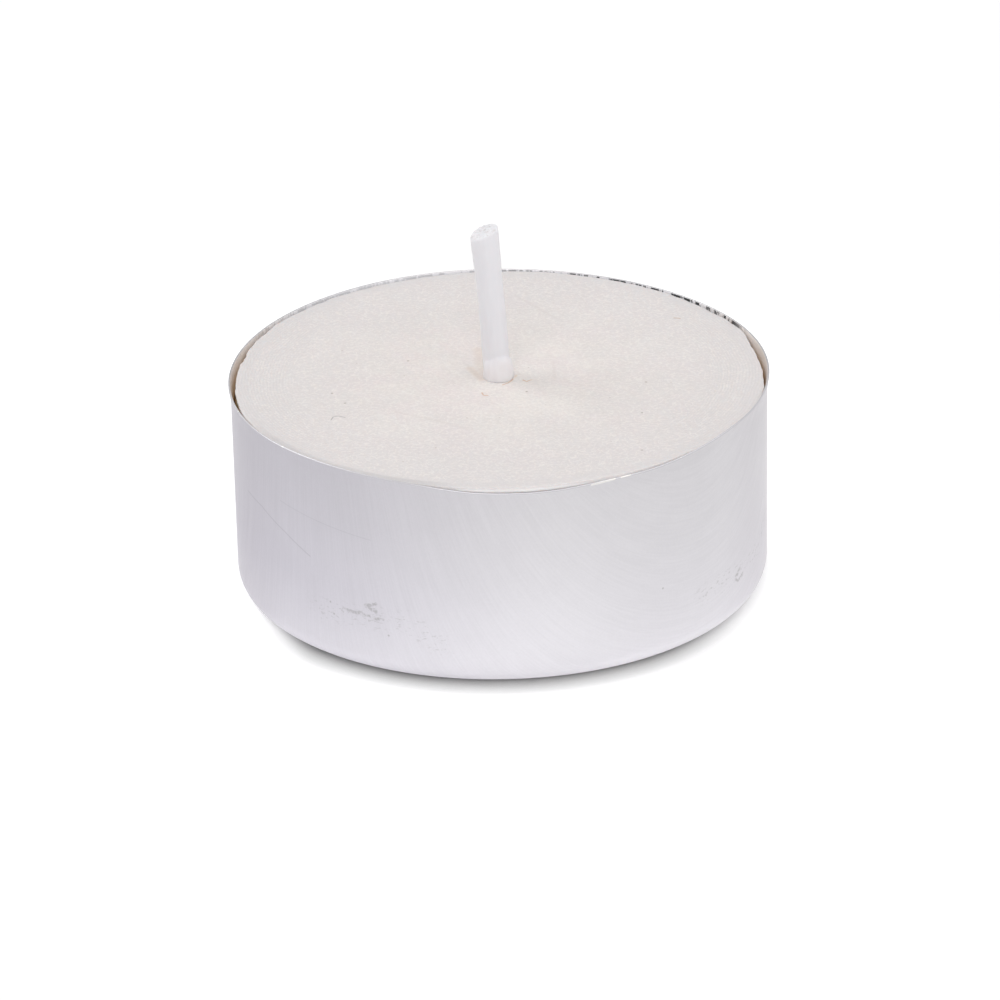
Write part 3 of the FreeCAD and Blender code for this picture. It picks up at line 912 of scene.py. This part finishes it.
def makeFloor(size):
    # matte white with painted light: an emission lifts the cup's wide shadow to plain white,
    # except in the narrow gap under its edge, where painted shadow darkens its colour
    half = size["floorSize"] / 2
    mesh = bpy.data.meshes.new("floor")
    corners = [(x * half, y * half, -size["floorDrop"]) for x, y in ((-1, -1), (1, -1), (1, 1), (-1, 1))]
    mesh.from_pydata(corners, [], [(0, 1, 2, 3)])
    floor = bpy.data.objects.new("floor", mesh)
    scene.collection.objects.link(floor)
    shader = Shader("floor")
    path = shader.add("LightPath").outputs
    flat = shader.millimetres()
    radius = shader.vector("LENGTH", flat)
    sideways = shader.parts(flat)[0]
    front = shader.times(shader.step(sideways, *size["contactLeft"]),
                         shader.step(sideways, *size["contactRight"]))
    openness = shader.add("AmbientOcclusion", {"Distance": size["contactReach"]}, samples=6).outputs["AO"]
    hidden = shader.minus(1.0, shader.math("POWER", openness, size["liftPower"]))
    lifted = shader.minus(1.0, shader.times(front, hidden))
    byCup = shader.step(radius, 60.0, 26.0, 0.1, 0.42)
    seen = shader.times(path["Is Camera Ray"], shader.times(lifted, byCup))
    mirrored = shader.most(path["Is Glossy Ray"], path["Is Transmission Ray"])
    # painted light: near and under the cup the floor also glows for glossy rays
    under = shader.step(radius, 20.5, 18.5, 0.12, 0.22)
    lift = shader.most(seen, shader.times(mirrored, under))
    # painted shadow: by the cup's edge the floor's colour darkens for camera rays
    shaded = shader.minus(1.0, shader.math("POWER", openness, size["shadePower"]))
    shaded = shader.times(shaded, front, path["Is Camera Ray"])
    colour = shader.mix(shaded, size["floorColour"], size["contactShadowColour"])
    matte = shader.add("BsdfDiffuse", {"Color": colour})
    glow = shader.add("Emission", {"Color": (1, 1, 1, 1), "Strength": lift})
    surface = shader.add("AddShader", {0: matte.outputs[0], 1: glow.outputs[0]})
    mesh.materials.append(shader.finish(surface.outputs[0]))
    return floor


def makeLamps(size):
    # an area lamp of power p gives a white matte face p * sin(elevation) / (pi * distance)^2
    for i, (x, y, elevation, share) in enumerate(size["lamps"]):
        rise = math.radians(elevation)
        flat = Vector((x, y)).normalized() * math.cos(rise)
        direction = Vector((flat.x, flat.y, math.sin(rise)))
        lamp = bpy.data.lights.new(f"lamp{i}", "AREA")
        lamp.shape = "DISK"
        lamp.size = size["lampSize"]
        lamp.energy = share * (math.pi * size["lampDistance"]) ** 2 / math.sin(rise)
        holder = bpy.data.objects.new(f"lamp{i}", lamp)
        holder.location = size["aim"] + direction * size["lampDistance"]
        holder.rotation_euler = direction.to_track_quat("Z", "Y").to_euler()
        scene.collection.objects.link(holder)


def makeWorld(size):
    # plain white as it is seen, directly or in metal, and dimmer as ambient light
    world = bpy.data.worlds.new("studio")
    world.use_nodes = True
    scene.world = world
    tree = world.node_tree
    tree.nodes.clear()
    path = tree.nodes.new("ShaderNodeLightPath")
    strength = tree.nodes.new("ShaderNodeMapRange")
    strength.inputs["To Min"].default_value = size["ambient"]
    strength.inputs["To Max"].default_value = 1.0
    seen = path.outputs["Is Camera Ray"]
    for kind in ("Is Glossy Ray", "Is Transmission Ray"):
        either = tree.nodes.new("ShaderNodeMath")
        either.operation = "MAXIMUM"
        tree.links.new(seen, either.inputs[0])
        tree.links.new(path.outputs[kind], either.inputs[1])
        seen = either.outputs[0]
    tree.links.new(seen, strength.inputs["Value"])
    background = tree.nodes.new("ShaderNodeBackground")
    background.inputs["Color"].default_value = (1, 1, 1, 1)
    tree.links.new(strength.outputs[0], background.inputs["Strength"])
    output = tree.nodes.new("ShaderNodeOutputWorld")
    tree.links.new(background.outputs[0], output.inputs[0])


def makeCamera(size):
    # at distance from the aim, raised by elevation over the front and rolled about its own line
    camera = bpy.data.cameras.new("camera")
    camera.lens = size["lens"]
    camera.sensor_width = size["sensor"]
    camera.shift_x, camera.shift_y = size["shift"]
    camera.clip_end = size["farClip"]
    holder = bpy.data.objects.new("camera", camera)
    rise = math.radians(size["elevation"])
    back = Vector((0, -math.cos(rise), math.sin(rise)))
    turn = back.to_track_quat("Z", "Y").to_matrix().to_4x4()
    roll = Matrix.Rotation(-math.radians(size["roll"]), 4, "Z")
    holder.matrix_world = Matrix.Translation(size["aim"] + back * size["distance"]) @ turn @ roll
    scene.collection.objects.link(holder)
    scene.camera = holder


makeFloor(stage)
makeLamps(stage)
makeWorld(stage)
makeCamera(stage)
scene.view_settings.view_transform = "Standard"
print("stage made")
